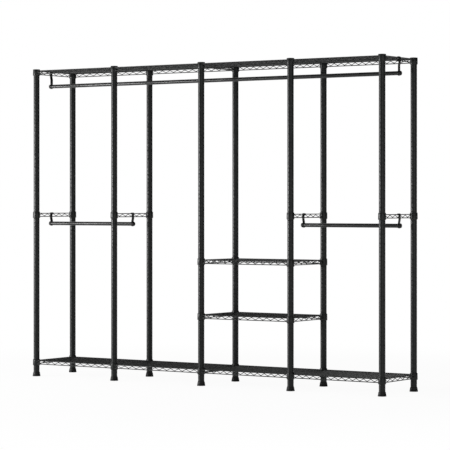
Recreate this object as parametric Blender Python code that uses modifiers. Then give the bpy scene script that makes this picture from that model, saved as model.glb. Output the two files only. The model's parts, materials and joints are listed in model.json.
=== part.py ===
"""Clothes rack: ten round posts that carry wire shelves, side frames and three hanging rods.

Run it with blender --background --python part.py, or from Blender's text editor.
Metres, +Z up. The origin is on the floor at the middle of the rack, +X runs along the rack
to the right as seen from the front, and the front faces -Y.
"""

import math

import bmesh
import bpy
from mathutils import Vector

# Whole rack: four bays between five pairs of posts, counted from the left
RACK_HEIGHT = 1.956
BAY_1_WIDTH = 0.6192
BAY_2_WIDTH = 0.6570
BAY_3_WIDTH = 0.6375
BAY_4_WIDTH = 0.6179
POST_ROW_SPACING = 0.3728

# Posts: steel tubes with a threaded plug in the foot end and a cap in the top end
POST_DIAMETER = 0.038
POST_WALL = 0.0012
PLUG_HEIGHT = 0.014
CAP_HEAD_HEIGHT = 0.0035
CAP_CHAMFER = 0.0022
CAP_PLUG_DEPTH = 0.012

# Levelling feet: a tapered foot with a sloping shoulder, on a threaded stem
FOOT_HEIGHT = 0.026
FOOT_DIAMETER = 0.050
FOOT_RIM_HEIGHT = 0.004
FOOT_SHOULDER_HEIGHT = 0.021
FOOT_SHOULDER_REACH = 0.0027
STEM_DIAMETER = 0.010
STEM_LENGTH = 0.040

# Wire trusses: two wires one above the other with a zigzag wire between them
TRUSS_HEIGHT = 0.020
EDGE_WIRE = 0.0055
ZIGZAG_WIRE = 0.0042
LEFT_ZIGZAG_PITCH = 0.058
RIGHT_ZIGZAG_PITCH = 0.0484
SHORT_ZIGZAG_PITCH = 0.0537
CROSS_ZIGZAG_PITCH = 0.0593
WELD_STRIP = 0.0005

# Collars: the sleeved rings that hold a shelf or a side frame on its posts
COLLAR_HEIGHT = 0.040
COLLAR_WALL = 0.004
TRUSS_INSET = 0.0098
SHARED_END_INSET = 0.010

# Deck wires run from front to back
DECK_WIRE = 0.0042
DECK_PITCH = 0.0508

# Heights of the middle of each truss above the floor
BOTTOM_SHELF_LEVEL = 0.0885
LOWER_MIDDLE_SHELF_LEVEL = 0.4175
UPPER_MIDDLE_SHELF_LEVEL = 0.749
SIDE_FRAME_LEVEL = 1.0275
TOP_SHELF_DROP = 0.021

# Hanging rods and their hangers
ROD_DIAMETER = 0.024
ROD_WALL = 0.0012
ROD_FORWARD = 0.015
TOP_ROD_DROP = 0.091
LOWER_ROD_DROP = 0.065
ROD_CAP_DIAMETER = 0.027
ROD_CAP_LENGTH = 0.0115
ROD_CAP_PLUG_DEPTH = 0.012
HANGER_THICKNESS = 0.003
HANGER_WIDTH = 0.024
HANGER_HOOK_DEPTH = 0.005
HANGER_STRAIGHT = 0.011
HANGER_SLOPE_HEIGHT = 0.016
HANGER_LEAN = 0.0035
RING_LENGTH = 0.008
RING_WALL = 0.003

# Shared by everything
FIT_GAP = 0.0003
ROUND_SIDES = 12

# Shares of a shape that set its rounding, and how far one piece runs into the next
CAP_FLAT_SHARE = 0.6
DOME_FLAT_SHARE = 0.55
DOME_START_SHARE = 0.55
EMBED_SHARE = 0.5

# How near two points are merged, and the sharpest edge that is shaded smooth
AXIS_MERGE = 0.00001
WELD_MERGE = 0.00001
SMOOTH_ANGLE = math.radians(40)

# Worked out from the sizes above
POST_RADIUS = POST_DIAMETER / 2
BORE_RADIUS = POST_RADIUS + FIT_GAP
COLLAR_RADIUS = BORE_RADIUS + COLLAR_WALL
TRUSS_OFFSET = COLLAR_RADIUS - TRUSS_INSET
POST_TOP = RACK_HEIGHT - CAP_HEAD_HEIGHT
POST_BOTTOM = FOOT_HEIGHT + FIT_GAP
ROD_RADIUS = ROD_DIAMETER / 2
FACET_SHARE = math.cos(math.pi / ROUND_SIDES)
RING_BORE_RADIUS = (ROD_RADIUS + FIT_GAP) / FACET_SHARE
RING_RADIUS = RING_BORE_RADIUS + RING_WALL

BAY_WIDTHS = (BAY_1_WIDTH, BAY_2_WIDTH, BAY_3_WIDTH, BAY_4_WIDTH)
RACK_SPAN = sum(BAY_WIDTHS)
POST_X = [sum(BAY_WIDTHS[:count]) - RACK_SPAN / 2 for count in range(len(BAY_WIDTHS) + 1)]
ROW_Y = {"front": -POST_ROW_SPACING / 2, "back": POST_ROW_SPACING / 2}
ROD_Y = -ROD_FORWARD

TOP_SHELF_LEVEL = RACK_HEIGHT - TOP_SHELF_DROP
FIRST, SECOND, MIDDLE, FOURTH, LAST = range(len(POST_X))
LEFTWARD, RIGHTWARD = -1, 1

POWDER_COAT = ("powder_coated_steel", (0.020, 0.022, 0.022), 0.42, 0.35)
ROD_COAT = ("rod_coating", (0.035, 0.037, 0.037), 0.36, 0.45)
BLACK_PLASTIC = ("black_plastic", (0.010, 0.010, 0.010), 0.55, 0.0)


def clear_scene():
    for obj in list(bpy.data.objects):
        bpy.data.objects.remove(obj, do_unlink=True)


def new_collection(name):
    collection = bpy.data.collections.new(name)
    bpy.context.scene.collection.children.link(collection)
    return collection


def finish_of(look):
    """The material with this name, made the first time that it is asked for."""
    name, colour, roughness, metallic = look
    found = bpy.data.materials.get(name)
    if found:
        return found
    made = bpy.data.materials.new(name)
    made.use_nodes = True
    shader = made.node_tree.nodes["Principled BSDF"]
    shader.inputs["Base Color"].default_value = (*colour, 1.0)
    shader.inputs["Roughness"].default_value = roughness
    shader.inputs["Metallic"].default_value = metallic
    return made


def add_object(name, data, collection, look=None):
    obj = bpy.data.objects.new(name, data)
    collection.objects.link(obj)
    if look:
        data.materials.append(finish_of(look))
    return obj


def place(obj, location, parent, rotation=(0.0, 0.0, 0.0)):
    """Puts an object at a world position under an empty that is neither turned nor scaled."""
    obj.parent = parent
    obj.location = Vector(location) - (parent.location if parent else Vector())
    obj.rotation_euler = rotation


def add_empty(name, location, collection):
    empty = bpy.data.objects.new(name, None)
    empty.location = location
    collection.objects.link(empty)
    return empty


def turned(name, profile, collection, look, closed=False):
    """A turned piece: the profile of (radius, height) points, top to bottom, swept round Z."""
    mesh = bpy.data.meshes.new(name)
    points = [(radius, 0.0, height) for radius, height in profile]
    edges = [(start, start + 1) for start in range(len(points) - 1)]
    if closed:
        edges.append((len(points) - 1, 0))
    mesh.from_pydata(points, edges, [])
    obj = add_object(name, mesh, collection, look)
    screw = obj.modifiers.new("turn", "SCREW")
    screw.steps = ROUND_SIDES
    screw.render_steps = ROUND_SIDES
    screw.use_merge_vertices = True
    screw.merge_threshold = AXIS_MERGE
    return obj


def flat_outline(name, loops, thickness, collection):
    """A flat piece: the first loop of (x, y) points less the others, as thick as given."""
    curve = bpy.data.curves.new(name, "CURVE")
    curve.dimensions = "2D"
    curve.fill_mode = "BOTH"
    curve.extrude = thickness / 2
    for loop in loops:
        spline = curve.splines.new("POLY")
        spline.points.add(len(loop) - 1)
        for point, (x, y) in zip(spline.points, loop):
            point.co = (x, y, 0.0, 1.0)
        spline.use_cyclic_u = True
    return add_object(name, curve, collection)


def round_bar(name, radius, height, collection):
    mesh = bpy.data.meshes.new(name)
    build = bmesh.new()
    bmesh.ops.create_cone(
        build, cap_ends=True, segments=ROUND_SIDES, radius1=radius, radius2=radius, depth=height
    )
    build.to_mesh(mesh)
    build.free()
    return add_object(name, mesh, collection)


def box(name, size, collection):
    mesh = bpy.data.meshes.new(name)
    build = bmesh.new()
    bmesh.ops.create_cube(build, size=1.0)
    bmesh.ops.scale(build, vec=size, verts=build.verts)
    build.to_mesh(mesh)
    build.free()
    return add_object(name, mesh, collection)


def as_mesh(obj):
    """The evaluated object as a plain mesh object in world space, in place of the first one."""
    bpy.context.view_layer.update()
    graph = bpy.context.evaluated_depsgraph_get()
    mesh = bpy.data.meshes.new_from_object(obj.evaluated_get(graph))
    mesh.transform(obj.matrix_world)
    build = bmesh.new()
    build.from_mesh(mesh)
    bmesh.ops.remove_doubles(build, verts=build.verts, dist=WELD_MERGE)
    bmesh.ops.dissolve_degenerate(build, dist=WELD_MERGE, edges=build.edges)
    build.to_mesh(mesh)
    build.free()
    name = obj.name
    home = obj.users_collection[0]
    bpy.data.objects.remove(obj, do_unlink=True)
    return add_object(name, mesh, home)


def add_boolean(obj, operation, operands):
    boolean = obj.modifiers.new(operation.lower(), "BOOLEAN")
    boolean.operation = operation
    boolean.solver = "EXACT"
    boolean.operand_type = "COLLECTION"
    boolean.collection = operands


def welded(name, pieces, cutters, collection, look):
    """One solid from overlapping pieces, less the cutters. Its origin stays at the world's."""
    added = bpy.data.collections.new(name + "_pieces")
    taken = bpy.data.collections.new(name + "_cutters")
    bpy.context.scene.collection.children.link(added)
    bpy.context.scene.collection.children.link(taken)
    base, *others = [as_mesh(piece) for piece in pieces]
    for other in others:
        added.objects.link(other)
    for cutter in [as_mesh(cutter) for cutter in cutters]:
        taken.objects.link(cutter)
    if added.objects:
        add_boolean(base, "UNION", added)
    if taken.objects:
        add_boolean(base, "DIFFERENCE", taken)
    solid = as_mesh(base)
    for helper in (added, taken):
        for obj in list(helper.objects):
            bpy.data.objects.remove(obj, do_unlink=True)
        bpy.data.collections.remove(helper)
    solid.name = name
    solid.data.materials.clear()
    solid.data.materials.append(finish_of(look))
    solid.data.shade_smooth()
    solid.data.set_sharp_from_angle(angle=SMOOTH_ANGLE)
    for home in list(solid.users_collection):
        home.objects.unlink(solid)
    collection.objects.link(solid)
    return solid


def centre_origin(obj, origin):
    """Moves a solid's origin to a point and leaves its shape where it is."""
    shift = Vector(origin)
    for vertex in obj.data.vertices:
        vertex.co -= shift
    obj.location = shift


def make_post(name, x, y, parts, rack):
    inner = POST_RADIUS - POST_WALL
    thread = STEM_DIAMETER / 2 + FIT_GAP
    plug_top = POST_BOTTOM + PLUG_HEIGHT
    profile = [
        (POST_RADIUS, POST_TOP),
        (POST_RADIUS, POST_BOTTOM),
        (thread, POST_BOTTOM),
        (thread, plug_top),
        (inner, plug_top),
        (inner, POST_TOP),
    ]
    place(turned(name, profile, parts, POWDER_COAT, closed=True), (x, y, 0.0), rack)


def make_post_cap(name, x, y, parts, rack):
    seat = POST_TOP + FIT_GAP
    plug_radius = POST_RADIUS - POST_WALL - FIT_GAP
    profile = [
        (0.0, RACK_HEIGHT),
        (POST_RADIUS * CAP_FLAT_SHARE, RACK_HEIGHT),
        (POST_RADIUS, RACK_HEIGHT - CAP_CHAMFER),
        (POST_RADIUS, seat),
        (plug_radius, seat),
        (plug_radius, POST_TOP - CAP_PLUG_DEPTH),
        (0.0, POST_TOP - CAP_PLUG_DEPTH),
    ]
    place(turned(name, profile, parts, BLACK_PLASTIC), (x, y, 0.0), rack)


def make_foot(name, x, y, parts, rack):
    stem = STEM_DIAMETER / 2
    base = FOOT_DIAMETER / 2
    profile = [
        (0.0, FOOT_HEIGHT + STEM_LENGTH),
        (stem, FOOT_HEIGHT + STEM_LENGTH),
        (stem, FOOT_HEIGHT),
        (POST_RADIUS, FOOT_HEIGHT),
        (POST_RADIUS + FOOT_SHOULDER_REACH, FOOT_SHOULDER_HEIGHT),
        (base, FOOT_RIM_HEIGHT),
        (base, 0.0),
        (0.0, 0.0),
    ]
    place(turned(name, profile, parts, BLACK_PLASTIC), (x, y, 0.0), rack)


def zigzag_holes(start, end, pitch, low, high):
    """Triangles left open by a zigzag wire between two heights, a whole number of pitches."""
    pitches = max(1, round((end - start) / pitch))
    half_pitch = (end - start) / pitches / 2
    slope = (high - low) / half_pitch
    half_wire = ZIGZAG_WIRE / 2 * math.hypot(1.0, slope) / slope
    trim = half_wire * slope
    reach = half_pitch - half_wire
    holes = []
    for step in range(2 * pitches + 1):
        middle = start + step * half_pitch
        left = middle if step == 0 else middle - reach
        right = middle if step == 2 * pitches else middle + reach
        base, tip = (high, low + trim) if step % 2 == 0 else (low, high - trim)
        holes.append([(left, base), (right, base), (middle, tip)])
    return holes


def truss_panel(name, start, end, level, open_start, open_end, pitch, wire, top, collection):
    """A truss drawn in its own plane: x along it, y up. It opens between two stations."""
    low_wire = level - TRUSS_HEIGHT / 2
    high_wire = level + TRUSS_HEIGHT / 2
    low = low_wire + EDGE_WIRE / 2
    high = high_wire - EDGE_WIRE / 2 - WELD_STRIP
    bottom = low_wire - EDGE_WIRE / 2
    frame = [(start, bottom), (end, bottom), (end, top), (start, top)]
    holes = zigzag_holes(open_start, open_end, pitch, low, high)
    return flat_outline(name, [frame, *holes], wire, collection)


def long_truss(name, left_post, right_post, y, level, pitch, collection):
    """A truss along the rack between two neighbouring posts."""
    into_post = POST_RADIUS * EMBED_SHARE
    start, end = POST_X[left_post], POST_X[right_post]
    panel = truss_panel(
        name,
        start + into_post,
        end - into_post,
        level,
        start + COLLAR_RADIUS,
        end - COLLAR_RADIUS,
        pitch,
        ZIGZAG_WIRE,
        level + TRUSS_HEIGHT / 2,
        collection,
    )
    place(panel, (0.0, y, 0.0), None, (math.pi / 2, 0.0, 0.0))
    return panel


def cross_truss(name, x, level, wire, top, collection):
    """A truss from the front post to the back post."""
    into_post = POST_RADIUS * EMBED_SHARE
    start, end = ROW_Y["front"], ROW_Y["back"]
    panel = truss_panel(
        name,
        start + into_post,
        end - into_post,
        level,
        start + COLLAR_RADIUS,
        end - COLLAR_RADIUS,
        CROSS_ZIGZAG_PITCH,
        wire,
        top,
        collection,
    )
    place(panel, (x, 0.0, 0.0), None, (math.pi / 2, 0.0, math.pi / 2))
    return panel


def deck_stations(posts):
    """Places along the rack of the deck wires between the two end wires."""
    stations = []
    for left, right in zip(posts, posts[1:]):
        width = POST_X[right] - POST_X[left]
        spaces = max(1, round(width / DECK_PITCH))
        stations += [POST_X[left] + width * step / spaces for step in range(1, spaces + 1)]
    return stations[:-1]


def deck(name, left_end, right_end, stations, level, collection):
    """The deck grid, drawn from above: an edge wire all round and wires from front to back."""
    half_edge = EDGE_WIRE / 2
    half_wire = DECK_WIRE / 2
    row = POST_ROW_SPACING / 2 + TRUSS_OFFSET
    outside = row + half_edge
    inside = row - half_edge
    outer = [
        (left_end - half_edge, -outside),
        (right_end + half_edge, -outside),
        (right_end + half_edge, outside),
        (left_end - half_edge, outside),
    ]
    starts = [left_end + half_edge] + [station + half_wire for station in stations]
    ends = [station - half_wire for station in stations] + [right_end - half_edge]
    slots = [
        [(start, -inside), (end, -inside), (end, inside), (start, inside)]
        for start, end in zip(starts, ends)
    ]
    grid = flat_outline(name, [outer, *slots], EDGE_WIRE, collection)
    place(grid, (0.0, 0.0, level + TRUSS_HEIGHT / 2), None)
    return grid


def collar(name, x, y, level, collection):
    ring = round_bar(name, COLLAR_RADIUS, COLLAR_HEIGHT, collection)
    place(ring, (x, y, level), None)
    return ring


def bore(name, x, y, level, collection):
    cutter = round_bar(name, BORE_RADIUS, COLLAR_HEIGHT + 2 * EDGE_WIRE, collection)
    place(cutter, (x, y, level), None)
    return cutter


def beyond_split(name, x, y, level, side, collection):
    """A cutter that takes the half of a shared collar which the neighbouring shelf has."""
    width = 2 * COLLAR_RADIUS
    cutter = box(name, (width, 2 * width, 2 * COLLAR_HEIGHT), collection)
    place(cutter, (x + side * (width - FIT_GAP) / 2, y, level), None)
    return cutter


def make_shelf(name, level, posts, shared, pitch, helpers, parts, rack):
    """A wire shelf on the named posts. At a shared post it ends in half collars."""
    left_inset = SHARED_END_INSET if posts[0] in shared else -TRUSS_OFFSET
    right_inset = SHARED_END_INSET if posts[-1] in shared else -TRUSS_OFFSET
    left_end = POST_X[posts[0]] + left_inset
    right_end = POST_X[posts[-1]] - right_inset
    pieces = [deck("deck", left_end, right_end, deck_stations(posts), level, helpers)]
    cutters = []
    wire_top = level + TRUSS_HEIGHT / 2
    for end in (left_end, right_end):
        pieces.append(cross_truss("end", end, level, ZIGZAG_WIRE, wire_top, helpers))
    for y in ROW_Y.values():
        outer_y = y + math.copysign(TRUSS_OFFSET, y)
        for left, right in zip(posts, posts[1:]):
            pieces.append(long_truss("side", left, right, outer_y, level, pitch, helpers))
        for post in posts:
            pieces.append(collar("collar", POST_X[post], y, level, helpers))
            cutters.append(bore("bore", POST_X[post], y, level, helpers))
        for post in shared:
            side = LEFTWARD if post == posts[0] else RIGHTWARD
            cutters.append(beyond_split("split", POST_X[post], y, level, side, helpers))
    shelf = welded(name, pieces, cutters, parts, POWDER_COAT)
    centre_origin(shelf, ((left_end + right_end) / 2, 0.0, level))
    shelf.parent = rack


def make_side_frame(name, post, side, helpers, parts, rack):
    """A truss between a front and a back post, which a lower rod hangs from."""
    x = POST_X[post]
    top = SIDE_FRAME_LEVEL + (TRUSS_HEIGHT + EDGE_WIRE) / 2
    line = x + side * TRUSS_OFFSET
    pieces = [cross_truss("truss", line, SIDE_FRAME_LEVEL, EDGE_WIRE, top, helpers)]
    cutters = []
    for y in ROW_Y.values():
        pieces.append(collar("collar", x, y, SIDE_FRAME_LEVEL, helpers))
        cutters.append(bore("bore", x, y, SIDE_FRAME_LEVEL, helpers))
    frame = welded(name, pieces, cutters, parts, POWDER_COAT)
    centre_origin(frame, (x, 0.0, SIDE_FRAME_LEVEL))
    frame.parent = rack


def ring_centre():
    """How far outside its post line the middle of a hanger's ring lies."""
    leg = TRUSS_OFFSET + EDGE_WIRE / 2 + FIT_GAP + HANGER_THICKNESS / 2
    return leg - HANGER_LEAN


def hanger_outline(wire_height, rod_height):
    """The strap from the side, as (distance outside the post line, height) points."""
    inner_face = TRUSS_OFFSET - EDGE_WIRE / 2 - FIT_GAP
    outer_face = TRUSS_OFFSET + EDGE_WIRE / 2 + FIT_GAP
    saddle = wire_height + EDGE_WIRE / 2 + FIT_GAP
    tip = wire_height - HANGER_HOOK_DEPTH
    bend = wire_height - TRUSS_HEIGHT - HANGER_STRAIGHT
    lower_bend = bend - HANGER_SLOPE_HEIGHT
    foot = rod_height + RING_RADIUS * FACET_SHARE - RING_WALL * EMBED_SHARE
    return [
        (inner_face, tip),
        (inner_face, saddle),
        (outer_face, saddle),
        (outer_face, bend),
        (outer_face - HANGER_LEAN, lower_bend),
        (outer_face - HANGER_LEAN, foot),
        (outer_face - HANGER_LEAN + HANGER_THICKNESS, foot),
        (outer_face - HANGER_LEAN + HANGER_THICKNESS, lower_bend),
        (outer_face + HANGER_THICKNESS, bend),
        (outer_face + HANGER_THICKNESS, saddle + HANGER_THICKNESS),
        (inner_face - HANGER_THICKNESS, saddle + HANGER_THICKNESS),
        (inner_face - HANGER_THICKNESS, tip),
    ]


def make_hanger(name, post_x, side, wire_height, rod_height, helpers, parts, carrier):
    outline = hanger_outline(wire_height, rod_height)
    loop = [(post_x + side * out, height) for out, height in outline]
    strap = flat_outline("strap", [loop], HANGER_WIDTH, helpers)
    place(strap, (0.0, ROD_Y, 0.0), None, (math.pi / 2, 0.0, 0.0))
    half_ring = RING_LENGTH / 2
    ring_profile = [
        (RING_RADIUS, half_ring),
        (RING_RADIUS, -half_ring),
        (RING_BORE_RADIUS, -half_ring),
        (RING_BORE_RADIUS, half_ring),
    ]
    ring = turned("ring", ring_profile, helpers, None, closed=True)
    centre = post_x + side * ring_centre()
    place(ring, (centre, ROD_Y, rod_height), None, (0.0, math.pi / 2, 0.0))
    hanger = welded(name, [strap, ring], [], parts, POWDER_COAT)
    centre_origin(hanger, (centre, ROD_Y, rod_height))
    hanger.location -= carrier.location
    hanger.parent = carrier


def make_rod_cap(name, rod_end, side, axis, parts):
    seat = FIT_GAP
    plug_radius = ROD_RADIUS - ROD_WALL - FIT_GAP
    head = ROD_CAP_DIAMETER / 2
    profile = [
        (0.0, seat + ROD_CAP_LENGTH),
        (head * DOME_FLAT_SHARE, seat + ROD_CAP_LENGTH),
        (head, seat + ROD_CAP_LENGTH * DOME_START_SHARE),
        (head, seat),
        (plug_radius, seat),
        (plug_radius, seat - ROD_CAP_PLUG_DEPTH),
        (0.0, seat - ROD_CAP_PLUG_DEPTH),
    ]
    cap = turned(name, profile, parts, BLACK_PLASTIC)
    spot = (rod_end, axis.location.y, axis.location.z)
    place(cap, spot, axis, (0.0, side * math.pi / 2, 0.0))


def make_rod(name, first_post, last_post, wire_height, drop, helpers, parts):
    """A rod, its two end caps and its two hangers, which hook over the truss wires."""
    rod_height = wire_height - drop
    reach = ring_centre() + RING_LENGTH / 2
    left_end = POST_X[first_post] - reach
    right_end = POST_X[last_post] + reach
    middle = ((left_end + right_end) / 2, ROD_Y, rod_height)
    carrier = add_empty(name + "_carrier", middle, parts)
    axis = add_empty(name + "_axis", middle, parts)
    half_length = (right_end - left_end) / 2
    inner = ROD_RADIUS - ROD_WALL
    profile = [
        (ROD_RADIUS, half_length),
        (ROD_RADIUS, -half_length),
        (inner, -half_length),
        (inner, half_length),
    ]
    tube = turned(name, profile, parts, ROD_COAT, closed=True)
    place(tube, middle, axis, (0.0, math.pi / 2, 0.0))
    for word, side, post, end in (
        ("left", LEFTWARD, first_post, left_end),
        ("right", RIGHTWARD, last_post, right_end),
    ):
        make_rod_cap(name + "_cap_" + word, end, side, axis, parts)
        make_hanger(
            name + "_hanger_" + word,
            POST_X[post],
            side,
            wire_height,
            rod_height,
            helpers,
            parts,
            carrier,
        )


def main():
    clear_scene()
    parts = new_collection("clothes_rack")
    helpers = new_collection("helpers")
    rack = add_empty("rack", (0.0, 0.0, 0.0), parts)
    for row, y in ROW_Y.items():
        for number, x in enumerate(POST_X, start=1):
            place_name = row + "_" + str(number)
            make_post("post_" + place_name, x, y, parts, rack)
            make_post_cap("post_cap_" + place_name, x, y, parts, rack)
            make_foot("foot_" + place_name, x, y, parts, rack)
    left_half = (FIRST, SECOND, MIDDLE)
    right_half = (MIDDLE, FOURTH, LAST)
    inner_bay = (MIDDLE, FOURTH)
    shared = (MIDDLE,)
    for name, level, posts, ends, pitch in (
        ("top_shelf_left", TOP_SHELF_LEVEL, left_half, shared, LEFT_ZIGZAG_PITCH),
        ("top_shelf_right", TOP_SHELF_LEVEL, right_half, shared, RIGHT_ZIGZAG_PITCH),
        ("bottom_shelf_left", BOTTOM_SHELF_LEVEL, left_half, shared, LEFT_ZIGZAG_PITCH),
        ("bottom_shelf_right", BOTTOM_SHELF_LEVEL, right_half, shared, RIGHT_ZIGZAG_PITCH),
        ("middle_shelf_upper", UPPER_MIDDLE_SHELF_LEVEL, inner_bay, (), SHORT_ZIGZAG_PITCH),
        ("middle_shelf_lower", LOWER_MIDDLE_SHELF_LEVEL, inner_bay, (), SHORT_ZIGZAG_PITCH),
    ):
        make_shelf(name, level, posts, ends, pitch, helpers, parts, rack)
    for post, side in (
        (FIRST, LEFTWARD),
        (SECOND, RIGHTWARD),
        (FOURTH, LEFTWARD),
        (LAST, RIGHTWARD),
    ):
        make_side_frame("side_frame_" + str(post + 1), post, side, helpers, parts, rack)
    top_wire = TOP_SHELF_LEVEL + TRUSS_HEIGHT / 2
    frame_wire = SIDE_FRAME_LEVEL + TRUSS_HEIGHT / 2
    make_rod("top_rod", FIRST, LAST, top_wire, TOP_ROD_DROP, helpers, parts)
    make_rod("lower_rod_left", FIRST, SECOND, frame_wire, LOWER_ROD_DROP, helpers, parts)
    make_rod("lower_rod_right", FOURTH, LAST, frame_wire, LOWER_ROD_DROP, helpers, parts)


main()
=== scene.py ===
"""Clothes rack, dressed: grooved posts, wire shelves, rods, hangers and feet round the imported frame.

Run it with blender --background --python scene.py. Metres, +Z up. The origin is on the floor at
the middle of the rack, +X runs along it to the right as seen from the front, the front faces -Y.
"""

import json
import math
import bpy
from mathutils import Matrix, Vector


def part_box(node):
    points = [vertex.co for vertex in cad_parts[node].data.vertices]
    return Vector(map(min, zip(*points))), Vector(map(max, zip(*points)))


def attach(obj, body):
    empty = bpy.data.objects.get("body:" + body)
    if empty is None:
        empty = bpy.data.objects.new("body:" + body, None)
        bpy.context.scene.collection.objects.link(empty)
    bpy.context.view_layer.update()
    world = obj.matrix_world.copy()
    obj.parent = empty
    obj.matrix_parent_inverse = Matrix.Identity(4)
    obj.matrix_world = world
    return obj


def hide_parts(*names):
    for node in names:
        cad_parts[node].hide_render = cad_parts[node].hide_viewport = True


bl_info = {
    "name": "Clothes rack",
    "version": (1, 0, 0),
    "blender": (4, 5, 0),
    "location": "3D View > Sidebar > Clothes rack",
    "description": "Makes the grooved posts, wire shelves, rods, hangers and feet of a clothes rack",
    "category": "Add Mesh",
}

import bmesh
import bpy
from bpy.props import FloatProperty, FloatVectorProperty, IntProperty, PointerProperty
from bpy.types import Operator, Panel, PropertyGroup
from mathutils import Matrix, Vector

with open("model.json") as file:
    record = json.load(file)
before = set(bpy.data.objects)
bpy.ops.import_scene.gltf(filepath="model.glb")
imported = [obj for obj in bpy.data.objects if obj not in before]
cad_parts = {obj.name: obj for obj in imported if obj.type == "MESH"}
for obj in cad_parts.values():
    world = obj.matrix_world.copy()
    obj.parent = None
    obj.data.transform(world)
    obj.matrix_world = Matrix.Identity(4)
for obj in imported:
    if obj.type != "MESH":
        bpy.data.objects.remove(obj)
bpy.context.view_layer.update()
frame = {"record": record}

# How finely round things are made, and how close two points count as one
ROUND_SIDES = 48
POST_SIDES = 40
EDGE_WIRE_SIDES = 12
THIN_WIRE_SIDES = 8
BEND_STEPS = 6
EDGE_STEPS = 4
STRAP_EDGE_STEPS = 2
DOME_STEPS = 8
THREAD_SIDES = 16
RINGS_PER_THREAD = 6
SMOOTH_ANGLE = math.radians(50)
MERGE_DISTANCE = 0.000002
DOUBLE_DISTANCE = 0.0001

# Each groove of a post has seven rings, a quarter of its width apart
GROOVE_RINGS = 7.0
MIDDLE_RING = 3.0
QUARTER = 0.25

ROWS = ("front", "back")
POSTS = (1, 2, 3, 4, 5)
LEFT, WHOLE, RIGHT = -1, 0, 1

# Each shelf with the pairs of posts that it is on. Two long shelves share the middle pair, and
# each has the half collars on its side of it. The short shelves have whole collars
SHELVES = {
    "top_shelf_left": ((1, 2, 3), LEFT),
    "top_shelf_right": ((3, 4, 5), RIGHT),
    "bottom_shelf_left": ((1, 2, 3), LEFT),
    "bottom_shelf_right": ((3, 4, 5), RIGHT),
    "middle_shelf_upper": ((3, 4), WHOLE),
    "middle_shelf_lower": ((3, 4), WHOLE),
}
SHARED_POST = 3

# Each side frame by its pair of posts, with the side of them that its wires are on
SIDE_FRAMES = {1: LEFT, 2: RIGHT, 4: LEFT, 5: RIGHT}
RODS = ("top_rod", "lower_rod_left", "lower_rod_right")

# What share of its radius the flat top of a cap takes, and what share of its length the dome
POST_CAP_FLAT = 0.6
ROD_CAP_FLAT = 0.35
ROD_CAP_DOME = 0.5

# How far the foot's rim bends in, in degrees, and how many turns of thread are in the foot
FOOT_RIM_TURN = 60
HIDDEN_TURNS = 3

# Shares of the general gap and of the rod's wall
INSERT_FIT = 1 / 3
ROD_EDGE = 1 / 4

# Most of a noise lies between these two values
NOISE_LOW = 0.3
NOISE_HIGH = 0.7

# The scale along X, Y and Z of a rod's fine drawing lines
ROD_STRETCH = (4.0, 1200.0, 1200.0)

# The white backdrop stands behind the rack and to its left, and fades out towards its edge.
# The floor fades into it between two distances from the rack's middle
BACKDROP_SIDE = (-0.94, 0.34, 0.0)
BACKDROP_EDGE = 0.2
FADE_START = 1.6
FADE_END = 4.0
FLOOR_REACH = 60.0
FLOOR_CELLS = 8

# The lamps face the rack's middle. A span is a lamp's width and height
KEY_PLACE = (-4.4, -3.95, 1.2)
KEY_SPAN = (3.0, 0.8)
FILL_PLACE = (4.6, -3.2, 1.6)
FILL_SPAN = (4.6, 3.2)
LAMP_AIM = (0.0, 0.0, 1.0)

# The camera, fitted to the posts. Its pixel values are in the photo's frame of 450 by 450
CAMERA_PLACE = (7.2752, -10.7064, 1.108)
CAMERA_TURN = math.radians(33.983)
PHOTO_PIXELS = 450
FOCAL_PIXELS = 2115.8
HORIZON_ROW = 202.3
SENSOR_WIDTH = 36.0


def middle_of(node):
    low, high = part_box(node)
    return (low + high) / 2


def extent_of(node):
    low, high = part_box(node)
    return high - low


POST_X = {post: middle_of(f"post_front_{post}").x for post in POSTS}
ROW_Y = {row: middle_of(f"post_{row}_1").y for row in ROWS}
POST_SIZE = extent_of("post_front_1")
FOOT_SIZE = extent_of("foot_front_1")
ROD_SIZE = extent_of("top_rod")
ROD_CAP_SIZE = extent_of("top_rod_cap_left")
BODY_OF = {
    node: body
    for body, nodes in frame["record"]["behaviour"]["bodies"].items()
    for node in nodes
}


def length(name, description, default):
    """A property for a length, shown in the scene's units."""
    return FloatProperty(
        name=name, description=description, default=default, min=0.0, precision=5, unit="LENGTH"
    )


def colour(name, description, default):
    """A property for a colour, as linear red, green and blue."""
    return FloatVectorProperty(
        name=name, description=description, default=default, min=0.0, max=1.0, subtype="COLOR"
    )


def brightness(name, description, default, unit="NONE"):
    """A property for the strength of a light, as a share of white or in watts."""
    return FloatProperty(name=name, description=description, default=default, min=0.0, unit=unit)


class PostSizes(PropertyGroup):
    """Sizes of the posts and their caps"""

    diameter: length("Diameter", "Outside of the tube between two grooves", POST_SIZE.x)
    wall: length("Wall", "Thickness of the tube", 0.0012)
    groove_pitch: length("Groove pitch", "From one ring groove to the next", 0.0254)
    groove_width: length("Groove width", "Width of a ring groove at the surface", 0.0032)
    groove_depth: length("Groove depth", "Depth of a ring groove", 0.0007)
    grooves_below_shelf: IntProperty(
        name="Grooves below shelf",
        description="Grooves on each post below the one that the bottom shelf sits on",
        default=2,
        min=0,
    )
    cap_rim: length("Cap rim", "Height that the cap's edge is rounded over", 0.0022)
    cap_plug: length("Cap plug", "Depth of the cap's plug in the tube", 0.012)
    insert_height: length("Insert height", "Height of the plug that takes the foot's stem", 0.014)


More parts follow.
